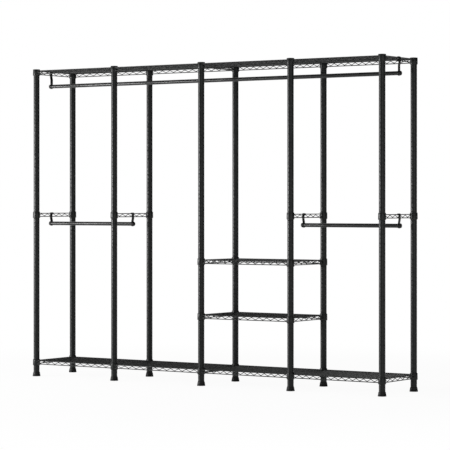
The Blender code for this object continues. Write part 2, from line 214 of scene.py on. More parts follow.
class WireSizes(PropertyGroup):
    """Sizes of the welded wires of the shelves and side frames"""

    edge_wire: length("Edge wire", "Diameter of a truss's top and bottom wires", 0.0055)
    zigzag_wire: length("Zigzag wire", "Diameter of the wire between these two", 0.0042)
    deck_wire: length("Deck wire", "Diameter of the wires from front to back", 0.0042)
    truss_height: length("Truss height", "Between the middles of the two edge wires", 0.020)
    left_pitch: length("Left pitch", "Zigzag pitch along the left long shelves", 0.0580)
    left_start: length("Left start", "From their first post to a bend at the bottom", 0.0435)
    right_pitch: length("Right pitch", "Zigzag pitch along the right long shelves", 0.0484)
    right_start: length("Right start", "From their first post to a bend at the bottom", 0.0028)
    short_pitch: length("Short pitch", "Zigzag pitch along the short shelves", 0.0537)
    short_start: length("Short start", "From their first post to a bend at the bottom", 0.0233)
    cross_pitch: length("Cross pitch", "Zigzag pitch from front to back", 0.0593)
    zigzag_bend: length("Zigzag bend", "Radius of the zigzag's bends", 0.008)
    deck_pitch: length("Deck pitch", "From one deck wire to the next", 0.0254)
    truss_offset: length("Truss offset", "From the posts' line out to a truss", 0.0135)
    shared_inset: length("Shared inset", "From the shared posts' line in to an end truss", 0.010)
    weld: length("Weld", "How far a wire is sunk into the one it is welded to", 0.0004)


class CollarSizes(PropertyGroup):
    """Sizes of the collars and of the split sleeves in them"""

    outside: length("Outside", "Diameter of a collar at its foot", 0.0466)
    taper: length("Taper", "How much smaller the radius is at the top", 0.0007)
    wall: length("Wall", "Thickness of the steel", 0.0024)
    top_margin: length("Top margin", "How far the sleeve stands out above", 0.0032)
    bottom_margin: length("Bottom margin", "How far the sleeve stands out below", 0.0018)
    edge: length("Edge", "Rounding of the collar's edges", 0.0008)
    sleeve_split: length("Sleeve split", "Gap between the two halves of a sleeve", 0.0010)
    collar_split: length("Collar split", "Gap between two half collars on a shared post", 0.0003)


class FootSizes(PropertyGroup):
    """Sizes of the levelling feet"""

    diameter: length("Diameter", "Across the underside", FOOT_SIZE.x)
    height: length("Height", "From the floor to the post", 0.026)
    rim_height: length("Rim height", "Height of the upright rim", 0.004)
    edge: length("Edge", "Rounding of the rim's lower edge", 0.0008)
    shoulder_height: length("Shoulder height", "Where the cone meets the round shoulder", 0.021)
    shoulder_reach: length("Shoulder reach", "How far the shoulder stands out from the post", 0.0027)
    stem_diameter: length("Stem diameter", "Across the threaded stem", 0.010)
    thread_pitch: length("Thread pitch", "From one turn of the thread to the next", 0.0015)
    thread_depth: length("Thread depth", "Depth of the thread", 0.0008)


class RodSizes(PropertyGroup):
    """Sizes of the hanging rods, their end caps and hangers"""

    diameter: length("Diameter", "Outside of the rod", ROD_SIZE.y)
    wall: length("Wall", "Thickness of the rod's tube", 0.0012)
    cap_diameter: length("Cap diameter", "Across an end cap", ROD_CAP_SIZE.y)
    cap_length: length("Cap length", "How far an end cap stands out", 0.0115)
    cap_plug: length("Cap plug", "Depth of the end cap's plug in the tube", 0.012)
    strap_width: length("Strap width", "Width of a hanger's strap", 0.024)
    strap_thickness: length("Strap thickness", "Thickness of a hanger's strap", 0.003)
    strap_edge: length("Strap edge", "Rounding of the strap's edges", 0.0008)
    strap_bend: length("Strap bend", "Radius of the strap's lower bends", 0.004)
    hook_depth: length("Hook depth", "How far the hook's tip hangs below the wire's middle", 0.005)
    straight: length("Straight", "How far the strap runs straight below the truss", 0.011)
    slope: length("Slope", "Height of the slanting part of the strap", 0.016)
    lean: length("Lean", "How far the slanting part brings the strap in", 0.0035)
    ring_length: length("Ring length", "Length of the ring along the rod", 0.008)
    ring_wall: length("Ring wall", "Thickness of the ring", 0.003)
    ring_edge: length("Ring edge", "Rounding of the ring's edges", 0.0008)
    fit: length("Fit", "Gap between pieces that touch", 0.0003)


class Finishes(PropertyGroup):
    """Colours of the coatings and the plastic"""

    steel: colour("Steel coat", "Powder coat of the posts, shelves and hangers", (0.005, 0.0059, 0.0057))
    rod: colour("Rod coat", "Smoother coat of the hanging rods", (0.010, 0.0105, 0.0105))
    plastic: colour("Plastic", "Caps, feet and sleeves", (0.005, 0.005, 0.005))
    zinc: colour("Zinc", "Threaded stems of the feet", (0.55, 0.56, 0.57))


class StageSettings(PropertyGroup):
    """Light and floor"""

    ambient: brightness("Ambient", "Strength of the light from all round", 0.55)
    dim: brightness("Front glow", "Brightness of the room in front, as the rack mirrors it", 0.03)
    key: brightness("Key lamp", "Power of the lamp at the front left", 420.0, "POWER")
    fill: brightness("Fill lamp", "Power of the lamp at the front right", 70.0, "POWER")
    floor: colour("Floor", "Colour of the floor", (0.85, 0.85, 0.85))
    backdrop_share: FloatProperty(
        name="Backdrop share",
        description="How much of the floor's look is the plain white of the backdrop",
        default=0.93,
        min=0.0,
        max=1.0,
        subtype="FACTOR",
    )


class RackSettings(PropertyGroup):
    """Everything about the rack that a user would change"""

    posts: PointerProperty(type=PostSizes)
    wires: PointerProperty(type=WireSizes)
    collars: PointerProperty(type=CollarSizes)
    feet: PointerProperty(type=FootSizes)
    rods: PointerProperty(type=RodSizes)
    finishes: PointerProperty(type=Finishes)
    stage: PointerProperty(type=StageSettings)


def settings():
    return bpy.context.scene.clothes_rack


def add_node(tree, kind, sockets=None, **options):
    """A new node. Each socket takes a fixed value, or the output that feeds it."""
    node = tree.nodes.new(kind)
    for name, value in options.items():
        setattr(node, name, value)
    for key, value in (sockets or {}).items():
        if isinstance(value, bpy.types.NodeSocket):
            tree.links.new(value, node.inputs[key])
        else:
            node.inputs[key].default_value = value
    return node


def result(tree, kind, sockets=None, **options):
    """The first output of a new node."""
    return add_node(tree, kind, sockets, **options).outputs[0]


def calc(tree, operation, *values):
    """The result of one Math node."""
    return result(tree, "ShaderNodeMath", dict(enumerate(values)), operation=operation)


def spot(tree, **parts):
    """A place from its X, Y and Z. What isn't given is 0."""
    return result(tree, "ShaderNodeCombineXYZ", parts)


def start_tree(name, sizes):
    """A Geometry Nodes tree with a path, named sizes and a finish as inputs, and those inputs."""
    tree = bpy.data.node_groups.new(name, "GeometryNodeTree")
    face = tree.interface
    face.new_socket("Path", in_out="INPUT", socket_type="NodeSocketGeometry")
    for label in sizes:
        kind = "NodeSocketInt" if label in ("Grooves", "Count") else "NodeSocketFloat"
        face.new_socket(label, in_out="INPUT", socket_type=kind)
    face.new_socket("Finish", in_out="INPUT", socket_type="NodeSocketMaterial")
    face.new_socket("Shape", in_out="OUTPUT", socket_type="NodeSocketGeometry")
    return tree, tree.nodes.new("NodeGroupInput").outputs


def end_tree(tree, sizes, *shapes):
    """Joins the shapes, makes them real and gives them the finish."""
    joined = tree.nodes.new("GeometryNodeJoinGeometry")
    for shape in shapes:
        tree.links.new(shape, joined.inputs["Geometry"])
    real = add_node(tree, "GeometryNodeRealizeInstances", {"Geometry": joined.outputs[0]})
    look = {"Geometry": real.outputs[0], "Material": sizes["Finish"]}
    done = add_node(tree, "GeometryNodeSetMaterial", look)
    add_node(tree, "NodeGroupOutput", {"Shape": done.outputs[0]})
    return tree


def with_finish(mesh, finish):
    """Gives the whole mesh one finish, in its only slot."""
    mesh.materials.clear()
    mesh.materials.append(finish)
    mesh.polygons.foreach_set("material_index", [0] * len(mesh.polygons))
    return mesh


def shaped(tree_name, sizes, finish_name, path=()):
    """The plain mesh that a tree makes with these sizes, along a path if it takes one."""
    tree, finish = tree_named(tree_name), finish_named(finish_name)
    mesh = bpy.data.meshes.new(tree.name)
    mesh.from_pydata(path, [(start, start + 1) for start in range(len(path) - 1)], [])
    holder = bpy.data.objects.new(tree.name, mesh)
    bpy.context.scene.collection.objects.link(holder)
    modifier = holder.modifiers.new("shape", "NODES")
    modifier.node_group = tree
    named = {item.name: item.identifier for item in tree.interface.items_tree}
    for label, value in sizes.items():
        modifier[named[label]] = value
    modifier[named["Finish"]] = finish
    bpy.context.view_layer.update()
    graph = bpy.context.evaluated_depsgraph_get()
    made = bpy.data.meshes.new_from_object(holder.evaluated_get(graph))
    bpy.data.objects.remove(holder, do_unlink=True)
    bpy.data.meshes.remove(mesh)
    return with_finish(made, finish)


def tube(tree, line, radius, sides, closed=True, scale=1.0):
    """A round tube along a line, in a Geometry Nodes tree."""
    circle = {"Resolution": sides, "Radius": radius}
    ring = add_node(tree, "GeometryNodeCurvePrimitiveCircle", circle)
    sockets = {"Curve": line, "Profile Curve": ring.outputs[0], "Scale": scale, "Fill Caps": closed}
    return result(tree, "GeometryNodeCurveToMesh", sockets)


def straight(tree, start, end):
    """A straight line between two places."""
    ends = {"Start": start, "End": end}
    return result(tree, "GeometryNodeCurvePrimitiveLine", ends)


def line_through(tree, count, place):
    """A line of this many points, whose places are worked out from their index."""
    line = result(tree, "GeometryNodeMeshLine", {"Count": count})
    moved = {"Geometry": line, "Position": place}
    line = result(tree, "GeometryNodeSetPosition", moved)
    return result(tree, "GeometryNodeMeshToCurve", {"Mesh": line})


def rounded(tree, line, radius, steps=BEND_STEPS, limited=True):
    """A line with its corners rounded to a radius, or to less where there is no room."""
    sockets = {"Curve": line, "Count": steps, "Radius": radius, "Limit Radius": limited}
    return result(tree, "GeometryNodeFilletCurve", sockets, mode="POLY")


def without_doubles(tree, line):
    """A line without the doubled points that a rounded corner close to its end leaves."""
    mesh = result(tree, "GeometryNodeCurveToMesh", {"Curve": line})
    close = {"Geometry": mesh, "Distance": DOUBLE_DISTANCE}
    mesh = result(tree, "GeometryNodeMergeByDistance", close)
    return result(tree, "GeometryNodeMeshToCurve", {"Mesh": mesh})


def smoothed(mesh):
    """Shades a mesh smooth except at its real edges."""
    mesh.shade_smooth()
    mesh.set_sharp_from_angle(angle=SMOOTH_ANGLE)
    return mesh


def turned(profile, finish_name, halved=False):
    """A closed profile of (radius, height) points turned round Z, all the way or its +X half."""
    build = bmesh.new()
    verts = [build.verts.new((radius, 0.0, height)) for radius, height in profile]
    edges = [build.edges.new(pair) for pair in zip(verts, verts[1:] + verts[:1])]
    sweep = math.pi if halved else 2 * math.pi
    if halved:
        quarter = Matrix.Rotation(-math.pi / 2, 4, "Z")
        bmesh.ops.transform(build, matrix=quarter, verts=verts)
    spun = bmesh.ops.spin(
        build,
        geom=verts + edges,
        cent=(0.0, 0.0, 0.0),
        axis=(0.0, 0.0, 1.0),
        angle=sweep,
        steps=ROUND_SIDES // 2 if halved else ROUND_SIDES,
    )
    if halved:
        last = [item for item in spun["geom_last"] if isinstance(item, bmesh.types.BMEdge)]
        bmesh.ops.contextual_create(build, geom=edges)
        bmesh.ops.contextual_create(build, geom=last)
    bmesh.ops.remove_doubles(build, verts=build.verts, dist=MERGE_DISTANCE)
    bmesh.ops.dissolve_degenerate(build, edges=build.edges, dist=MERGE_DISTANCE)
    bmesh.ops.recalc_face_normals(build, faces=build.faces)
    mesh = bpy.data.meshes.new("turned")
    build.to_mesh(mesh)
    build.free()
    return smoothed(with_finish(mesh, finish_named(finish_name)))


def arc(centre, across, up, start, end, steps):
    """Points of an ellipse's arc, as (radius, height), from one angle in degrees to another."""
    angles = [math.radians(start + (end - start) * step / steps) for step in range(steps + 1)]
    return [(centre[0] + across * math.cos(a), centre[1] + up * math.sin(a)) for a in angles]


def ring_profile(inner, outer, low, high, edge, taper=0.0):
    """A ring's section with round outer edges. Its top is narrower by the taper."""
    top = outer - taper
    return [
        (inner, low),
        *arc((outer - edge, low + edge), edge, edge, -90, 0, EDGE_STEPS),
        *arc((top - edge, high - edge), edge, edge, 0, 90, EDGE_STEPS),
        (inner, high),
    ]


def shift(x=0.0, y=0.0, z=0.0):
    return Matrix.Translation((x, y, z))


def add_piece(name, node, *parts):
    """One piece from (mesh, place) pairs of one finish, for the frame's solid that it stands for."""
    build = bmesh.new()
    for mesh, place in parts:
        moved = mesh.copy()
        moved.transform(place)
        build.from_mesh(moved)
        bpy.data.meshes.remove(moved)
    made = bpy.data.meshes.new(name)
    build.to_mesh(made)
    build.free()
    finish = parts[0][0].materials[0]
    piece = bpy.data.objects.new(name, smoothed(with_finish(made, finish)))
    bpy.context.scene.collection.objects.link(piece)
    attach(piece, BODY_OF[node])
    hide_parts(node)


def start_finish(name, metallic, specular):
    """A material with its tree, its shader and the object's own coordinates."""
    made = bpy.data.materials.new(name)
    made.use_nodes = True
    tree = made.node_tree
    shader = tree.nodes["Principled BSDF"]
    shader.inputs["Metallic"].default_value = metallic
    shader.inputs["Specular IOR Level"].default_value = specular
    place = add_node(tree, "ShaderNodeTexCoord").outputs["Object"]
    return made, tree, shader, place


def noise(tree, place, per_metre, detail, stretch=None):
    """Noise with this many blobs a metre, stretched where a scale for each axis is given."""
    if stretch:
        sockets = {"Vector": place, "Scale": stretch}
        place = result(tree, "ShaderNodeMapping", sockets)
    sockets = {"Vector": place, "Scale": per_metre, "Detail": detail}
    return add_node(tree, "ShaderNodeTexNoise", sockets).outputs["Fac"]


def ranged(tree, value, low, high):
    """A noise value spread over a range."""
    sockets = {"From Min": NOISE_LOW, "From Max": NOISE_HIGH, "To Min": low, "To Max": high}
    return result(tree, "ShaderNodeMapRange", {"Value": value, **sockets})


def tint(tree, shader, base, pattern, darker, lighter):
    """Varies the base colour between a darker and a lighter share of itself."""
    ramp = tree.nodes.new("ShaderNodeValToRGB")
    tree.links.new(ranged(tree, pattern, 0.0, 1.0), ramp.inputs["Fac"])
    for end, share in zip(ramp.color_ramp.elements, (darker, lighter)):
        end.color = (*[part * share for part in base], 1.0)
    tree.links.new(ramp.outputs["Color"], shader.inputs["Base Color"])


def worn(tree, shader, pattern, smoothest, roughest):
    """Varies the roughness between two values."""
    tree.links.new(ranged(tree, pattern, smoothest, roughest), shader.inputs["Roughness"])


def bumped(tree, shader, height, depth, strength):
    """Raises the surface by a height pattern, this many metres deep."""
    sockets = {"Height": height, "Distance": depth, "Strength": strength}
    normal = result(tree, "ShaderNodeBump", sockets)
    tree.links.new(normal, shader.inputs["Normal"])


def powder_coat():
    """Fine black powder coat: orange peel, slow changes of sheen and a faint mottle."""
    made, tree, shader, place = start_finish("powder_coat", metallic=0.0, specular=0.2)
    peel = noise(tree, place, per_metre=900.0, detail=3.0)
    mottle = noise(tree, place, per_metre=22.0, detail=4.0)
    sheen = noise(tree, place, per_metre=70.0, detail=2.0)
    tint(tree, shader, settings().finishes.steel, mottle, darker=0.75, lighter=1.3)
    worn(tree, shader, sheen, smoothest=0.31, roughest=0.41)
    bumped(tree, shader, peel, depth=0.00008, strength=0.5)
    return made


def rod_coat():
    """Smoother coat of the rods, with faint drawing lines along them."""
    made, tree, shader, place = start_finish("rod_coat", metallic=0.0, specular=0.28)
    lines = noise(tree, place, per_metre=1.0, detail=3.0, stretch=ROD_STRETCH)
    mottle = noise(tree, place, per_metre=18.0, detail=3.0)
    tint(tree, shader, settings().finishes.rod, mottle, darker=0.85, lighter=1.2)
    worn(tree, shader, lines, smoothest=0.28, roughest=0.36)
    bumped(tree, shader, lines, depth=0.00003, strength=0.4)
    return made


def moulded_plastic():
    """Matt black moulded plastic with a fine grain."""
    made, tree, shader, place = start_finish("moulded_plastic", metallic=0.0, specular=0.2)
    grain = noise(tree, place, per_metre=2400.0, detail=2.0)
    cloud = noise(tree, place, per_metre=60.0, detail=3.0)
    tint(tree, shader, settings().finishes.plastic, cloud, darker=0.8, lighter=1.25)
    worn(tree, shader, cloud, smoothest=0.48, roughest=0.60)
    bumped(tree, shader, grain, depth=0.00006, strength=0.45)
    return made


def zinc_plate():
    """Zinc plate of the threaded stems, slightly cloudy."""
    made, tree, shader, place = start_finish("zinc_plate", metallic=1.0, specular=0.5)
    cloud = noise(tree, place, per_metre=300.0, detail=3.0)
    tint(tree, shader, settings().finishes.zinc, cloud, darker=0.85, lighter=1.1)
    worn(tree, shader, cloud, smoothest=0.28, roughest=0.45)
    bumped(tree, shader, cloud, depth=0.00004, strength=0.3)
    return made


FINISH_MAKERS = {
    "powder_coat": powder_coat,
    "rod_coat": rod_coat,
    "moulded_plastic": moulded_plastic,
    "zinc_plate": zinc_plate,
}


def finish_named(name):
    """A finish, made the first time that a piece asks for it."""
    return bpy.data.materials.get(name) or FINISH_MAKERS[name]()


def grooved_post_tree():
    """An open tube up the Z axis with ring grooves at an even pitch."""
    labels = ("Radius", "Bottom", "Top", "First Groove", "Groove Pitch", "Groove Width")
    tree, size = start_tree("Grooved post", (*labels, "Groove Depth", "Grooves"))
    index = result(tree, "GeometryNodeInputIndex")
    step = calc(tree, "SUBTRACT", index, 1.0)
    groove = calc(tree, "FLOOR", calc(tree, "DIVIDE", step, GROOVE_RINGS))
    in_groove = calc(tree, "FLOORED_MODULO", step, GROOVE_RINGS)
    ring = calc(tree, "SUBTRACT", in_groove, MIDDLE_RING)
    middle = calc(tree, "MULTIPLY_ADD", groove, size["Groove Pitch"], size["First Groove"])
    spacing = calc(tree, "MULTIPLY", size["Groove Width"], QUARTER)
    height = calc(tree, "MULTIPLY_ADD", ring, spacing, middle)
    height = calc(tree, "MINIMUM", calc(tree, "MAXIMUM", height, size["Bottom"]), size["Top"])
    turn = calc(tree, "COSINE", calc(tree, "MULTIPLY", ring, math.pi * QUARTER))
    depth_share = calc(tree, "DIVIDE", size["Groove Depth"], size["Radius"])
    cut = calc(tree, "MULTIPLY", calc(tree, "MAXIMUM", turn, 0.0), depth_share)
    count = calc(tree, "MULTIPLY_ADD", size["Grooves"], GROOVE_RINGS, 2.0)
    line = line_through(tree, count, spot(tree, Z=height))
    scale = calc(tree, "SUBTRACT", 1.0, cut)
    return end_tree(tree, size, tube(tree, line, size["Radius"], POST_SIDES, False, scale))


def with_inner_wall(mesh, share):
    """Closes an open tube: both rims turn in to this share of their radius and are joined."""
    build = bmesh.new()
    build.from_mesh(mesh)
    rims = [edge for edge in build.edges if edge.is_boundary]
    made = bmesh.ops.extrude_edge_only(build, edges=rims)["geom"]
    for vert in [item for item in made if isinstance(item, bmesh.types.BMVert)]:
        vert.co.x *= share
        vert.co.y *= share
    inner = [item for item in made if isinstance(item, bmesh.types.BMEdge) and item.is_boundary]
    bmesh.ops.bridge_loops(build, edges=inner)
    bmesh.ops.recalc_face_normals(build, faces=build.faces)
    build.to_mesh(mesh)
    build.free()
    return smoothed(mesh)


def threaded_stem_tree():
    """A rod up the Z axis whose surface is cut by a screw thread."""
    tree, size = start_tree("Threaded stem", ("Radius", "Bottom", "Top", "Pitch", "Depth", "Count"))
    line = straight(tree, spot(tree, Z=size["Bottom"]), spot(tree, Z=size["Top"]))
    steps = {"Curve": line, "Count": size["Count"]}
    line = result(tree, "GeometryNodeResampleCurve", steps)
    rod = tube(tree, line, size["Radius"], THREAD_SIDES)
    place = result(tree, "GeometryNodeInputPosition")
    split = add_node(tree, "ShaderNodeSeparateXYZ", {"Vector": place})
    x, y, z = split.outputs
    turn = calc(tree, "DIVIDE", calc(tree, "ARCTAN2", y, x), 2 * math.pi)
    phase = calc(tree, "SUBTRACT", calc(tree, "DIVIDE", z, size["Pitch"]), turn)
    wave = calc(tree, "MULTIPLY", calc(tree, "PINGPONG", phase, 0.5), 2.0)
    cut = calc(tree, "MULTIPLY", wave, calc(tree, "DIVIDE", size["Depth"], size["Radius"]))
    share = calc(tree, "SUBTRACT", 1.0, cut)
    place = spot(tree, X=calc(tree, "MULTIPLY", x, share), Y=calc(tree, "MULTIPLY", y, share), Z=z)
    rod = result(tree, "GeometryNodeSetPosition", {"Geometry": rod, "Position": place})
    return end_tree(tree, size, rod)


def truss_tree():
    """Two straight wires along X, one above the other, and a rounded zigzag wire between them."""
    labels = ("Length", "Height", "Edge Wire", "Zigzag Wire", "Zigzag Height", "Zigzag Bend")
    tree, size = start_tree("Wire truss", (*labels, "Zigzag Pitch", "Bottom Bend"))
    edge_radius = calc(tree, "DIVIDE", size["Edge Wire"], 2.0)
    zigzag_radius = calc(tree, "DIVIDE", size["Zigzag Wire"], 2.0)
    shapes = []
    for half in (-0.5, 0.5):
        z = calc(tree, "MULTIPLY", size["Height"], half)
        wire = straight(tree, spot(tree, Z=z), spot(tree, X=size["Length"], Z=z))
        shapes.append(tube(tree, wire, edge_radius, EDGE_WIRE_SIDES))
    half_pitch = calc(tree, "DIVIDE", size["Zigzag Pitch"], 2.0)
    before = calc(tree, "DIVIDE", calc(tree, "MULTIPLY", size["Bottom Bend"], -1.0), half_pitch)
    room = calc(tree, "SUBTRACT", size["Length"], size["Bottom Bend"])
    first = calc(tree, "FLOOR", before)
    last = calc(tree, "CEIL", calc(tree, "DIVIDE", room, half_pitch))
    index = result(tree, "GeometryNodeInputIndex")
    bend = calc(tree, "ADD", index, first)
    x = calc(tree, "MULTIPLY_ADD", bend, half_pitch, size["Bottom Bend"])
    x = calc(tree, "MINIMUM", calc(tree, "MAXIMUM", x, 0.0), size["Length"])
    along = calc(tree, "DIVIDE", calc(tree, "SUBTRACT", x, size["Bottom Bend"]), half_pitch)
    up = calc(tree, "SUBTRACT", calc(tree, "PINGPONG", along, 1.0), 0.5)
    count = calc(tree, "ADD", calc(tree, "SUBTRACT", last, first), 1.0)
    place = spot(tree, X=x, Z=calc(tree, "MULTIPLY", up, size["Zigzag Height"]))
    line = rounded(tree, line_through(tree, count, place), size["Zigzag Bend"])
    shapes.append(tube(tree, without_doubles(tree, line), zigzag_radius, THIN_WIRE_SIDES))
    return end_tree(tree, size, *shapes)


def deck_tree():
    """Parallel wires along Y, side by side along X, centred on Y."""
    tree, size = start_tree("Deck wires", ("Span", "Spacing", "Deck Wire", "Count"))
    half = calc(tree, "MULTIPLY", size["Span"], 0.5)
    wire = straight(tree, spot(tree, Y=calc(tree, "MULTIPLY", half, -1.0)), spot(tree, Y=half))
    wire = tube(tree, wire, calc(tree, "DIVIDE", size["Deck Wire"], 2.0), THIN_WIRE_SIDES)
    row = {"Count": size["Count"], "Offset": spot(tree, X=size["Spacing"])}
    row = result(tree, "GeometryNodeMeshLine", row)
    copies = {"Points": row, "Instance": wire}
    copies = result(tree, "GeometryNodeInstanceOnPoints", copies)
    return end_tree(tree, size, copies)


def strap_tree():
    """A flat strap with round edges that follows a path, its corners bent to a radius."""
    tree, size = start_tree("Bent strap", ("Width", "Thickness", "Edge", "Bend"))
    line = result(tree, "GeometryNodeMeshToCurve", {"Mesh": size["Path"]})
    line = rounded(tree, line, size["Bend"])
    section = {"Width": size["Thickness"], "Height": size["Width"]}
    section = result(tree, "GeometryNodeCurvePrimitiveQuadrilateral", section)
    section = rounded(tree, section, size["Edge"], STRAP_EDGE_STEPS, False)
    sockets = {"Curve": line, "Profile Curve": section, "Fill Caps": True}
    strap = result(tree, "GeometryNodeCurveToMesh", sockets)
    return end_tree(tree, size, strap)


TREE_MAKERS = {
    "Grooved post": grooved_post_tree,
    "Threaded stem": threaded_stem_tree,
    "Wire truss": truss_tree,
    "Deck wires": deck_tree,
    "Bent strap": strap_tree,
}


def tree_named(name):
    """A tree, made the first time that a piece asks for it."""
    return bpy.data.node_groups.get(name) or TREE_MAKERS[name]()


def collar_inside():
    """Radius of the inside of a collar's steel, where the wires end."""
    collar = settings().collars
    return collar.outside / 2 - collar.wall


def truss_between(start, end, offset, pitch, bottom_bend):
    """A truss along X between two collars, and where it starts. It has a bend at the given x."""
    wires = settings().wires
    into = math.sqrt(collar_inside() ** 2 - offset**2)
    reach = (wires.truss_height - wires.edge_wire - wires.zigzag_wire) / 2 + wires.weld
    slope = math.atan(4 * reach / pitch)
    bend_loss = wires.zigzag_bend * (1 / math.cos(slope) - 1)
    sizes = {
        "Length": end - start - 2 * into,
        "Height": wires.truss_height,
        "Edge Wire": wires.edge_wire,
        "Zigzag Wire": wires.zigzag_wire,
        "Zigzag Height": 2 * (reach + bend_loss),
        "Zigzag Bend": wires.zigzag_bend,
        "Zigzag Pitch": pitch,
        "Bottom Bend": bottom_bend - start - into,
    }
    return shaped("Wire truss", sizes, "powder_coat"), start + into


def cross_truss(x, offset, level):
    """A truss from the front posts' row to the back posts' row, in place, with its middle up."""
    pitch = settings().wires.cross_pitch
    front, back = ROW_Y["front"], ROW_Y["back"]
    middle = (front + back) / 2
    mesh, start = truss_between(front, back, offset, pitch, middle + pitch / 2)
    return mesh, shift(x, start, level) @ Matrix.Rotation(math.pi / 2, 4, "Z")


def zigzag_of(side):
    """The pitch of a shelf's long zigzags, and how far from its first post one is at the bottom."""
    wires = settings().wires
    return {
        LEFT: (wires.left_pitch, wires.left_start),
        RIGHT: (wires.right_pitch, wires.right_start),
        WHOLE: (wires.short_pitch, wires.short_start),
    }[side]


def deck_wires(count, first, spacing, span, level):
    """A row of deck wires, in place, with their tops level with the edge wires' tops."""
    wires = settings().wires
    sizes = {"Span": span, "Spacing": spacing, "Deck Wire": wires.deck_wire, "Count": count}
    height = level + (wires.truss_height + wires.edge_wire - wires.deck_wire) / 2
    deck = shaped("Deck wires", sizes, "powder_coat")
    return deck, shift(first, 0.0, height)


def shelf_wires(posts, side, level):
    """The trusses all round a shelf and the deck wires across it, in place."""
    wires = settings().wires
    left_offset = wires.shared_inset if side == RIGHT else -wires.truss_offset
    right_offset = wires.shared_inset if side == LEFT else -wires.truss_offset
    parts = [
        cross_truss(POST_X[posts[0]] + left_offset, left_offset, level),
        cross_truss(POST_X[posts[-1]] - right_offset, right_offset, level),
    ]
    row_spacing = ROW_Y["back"] - ROW_Y["front"]
    full_span = row_spacing + 2 * wires.truss_offset
    short_span = row_spacing - 2 * collar_inside()
    pitch, bend_start = zigzag_of(side)
    bottom_bend = POST_X[posts[0]] + bend_start
    for left, right in zip(posts, posts[1:]):
        start, end = POST_X[left], POST_X[right]
        mesh, first = truss_between(start, end, wires.truss_offset, pitch, bottom_bend)
        for y in ROW_Y.values():
            line = y + math.copysign(wires.truss_offset, y)
            parts.append((mesh, shift(first, line, level)))
        spaces = max(1, round((end - start) / wires.deck_pitch))
        spacing = (end - start) / spaces
        parts.append(deck_wires(spaces - 1, start + spacing, spacing, full_span, level))
    for post in posts:
        if post != SHARED_POST or side == WHOLE:
            parts.append(deck_wires(1, POST_X[post], 0.0, short_span, level))
    return parts


def half_turned(side, gap):
    """Turns the +X half of a ring to a side of its post, half a gap out from the middle."""
    return Matrix.Rotation(0.0 if side == RIGHT else math.pi, 4, "Z") @ shift(x=gap / 2)


def sleeve_profile(height):
    """A plastic sleeve with a lip on top that the collar's steel sits under."""
    collar = settings().collars
    fit = settings().rods.fit
    inner = settings().posts.diameter / 2 + fit
    outer = collar_inside() - fit / 2
    edge = collar.edge
    lip = outer + collar.wall / 2
    lip_low = height / 2 - collar.top_margin + fit / 2
    return [
        (inner, -height / 2),
        (outer - edge / 2, -height / 2),
        (outer, -height / 2 + edge / 2),
        (outer, lip_low),
        (lip, lip_low),
        *arc((lip - edge, height / 2 - edge), edge, edge, 0, 90, EDGE_STEPS),
        (inner, height / 2),
    ]


def add_collars(node, posts, level, split_side):
    """Two pieces: the collars of a shelf or side frame, and the sleeves in them in halves."""
    collar = settings().collars
    height = extent_of("side_frame_1").z
    low = collar.bottom_margin - height / 2
    high = height / 2 - collar.top_margin
    inner, outer = collar_inside(), collar.outside / 2
    profile = ring_profile(inner, outer, low, high, collar.edge, collar.taper)
    whole = turned(profile, "powder_coat")
    half = turned(profile, "powder_coat", halved=True)
    half_sleeve = turned(sleeve_profile(height), "moulded_plastic", halved=True)
    rings, sleeves = [], []
    for post in posts:
        split = post == SHARED_POST and split_side != WHOLE
        for y in ROW_Y.values():
            place = shift(POST_X[post], y, level)
            if split:
                rings.append((half, place @ half_turned(split_side, collar.collar_split)))
            else:
                rings.append((whole, place))
            for side in (split_side,) if split else (LEFT, RIGHT):
                sleeves.append((half_sleeve, place @ half_turned(side, collar.sleeve_split)))
    add_piece(node + "_collars", node, *rings)
    add_piece(node + "_sleeves", node, *sleeves)


def post_places():
    """Each post's row and number, and the move from the rack's middle to it."""
    return [(f"{row}_{post}", shift(POST_X[post], ROW_Y[row])) for row in ROWS for post in POSTS]


def cap_profile(top, seat, head, flat, rounding, plug, depth):
    """A head with a flat top and a rounded edge, on a plug that goes this deep below its seat."""
    return [
        (0.0, top),
        *arc((flat, top - rounding), head - flat, rounding, 90, 0, DOME_STEPS),
        (head, seat),
        (plug, seat),
        (plug, seat - depth),
        (0.0, seat - depth),
    ]


def foot_profile():
    """A flat underside, an upright rim, a cone up to a round shoulder, and a flat top."""
    foot = settings().feet
    edge = foot.edge
    post_radius = settings().posts.diameter / 2
    base = foot.diameter / 2
    shoulder = (post_radius, foot.shoulder_height)
    rise = foot.height - foot.shoulder_height
    return [
        (0.0, 0.0),
        *arc((base - edge, edge), edge, edge, -90, 0, EDGE_STEPS),
        *arc((base - edge, foot.rim_height - edge), edge, edge, 0, FOOT_RIM_TURN, EDGE_STEPS),
        *arc(shoulder, foot.shoulder_reach, rise, 0, 90, DOME_STEPS),
        (0.0, foot.height),
    ]


def strap_path(side, post_x, rod_place, wire_height):
    """The middle line of a hanger's strap: tip, over the wire, down, and in to the ring."""
    rod = settings().rods
    wires = settings().wires
    middle = wires.truss_offset
    arm = wires.edge_wire / 2 + rod.fit + rod.strap_thickness / 2
    saddle = wire_height + arm
    bend = wire_height - wires.truss_height - rod.straight
    ring_top = rod_place.z + rod.diameter / 2 + rod.ring_wall / 2
    points = [
        (middle - arm, wire_height - rod.hook_depth),
        (middle - arm, saddle),
        (middle + arm, saddle),
        (middle + arm, bend),
        (middle + arm - rod.lean, bend - rod.slope),
        (middle + arm - rod.lean, ring_top),
    ]
    return [(post_x + side * out, rod_place.y, height) for out, height in points]


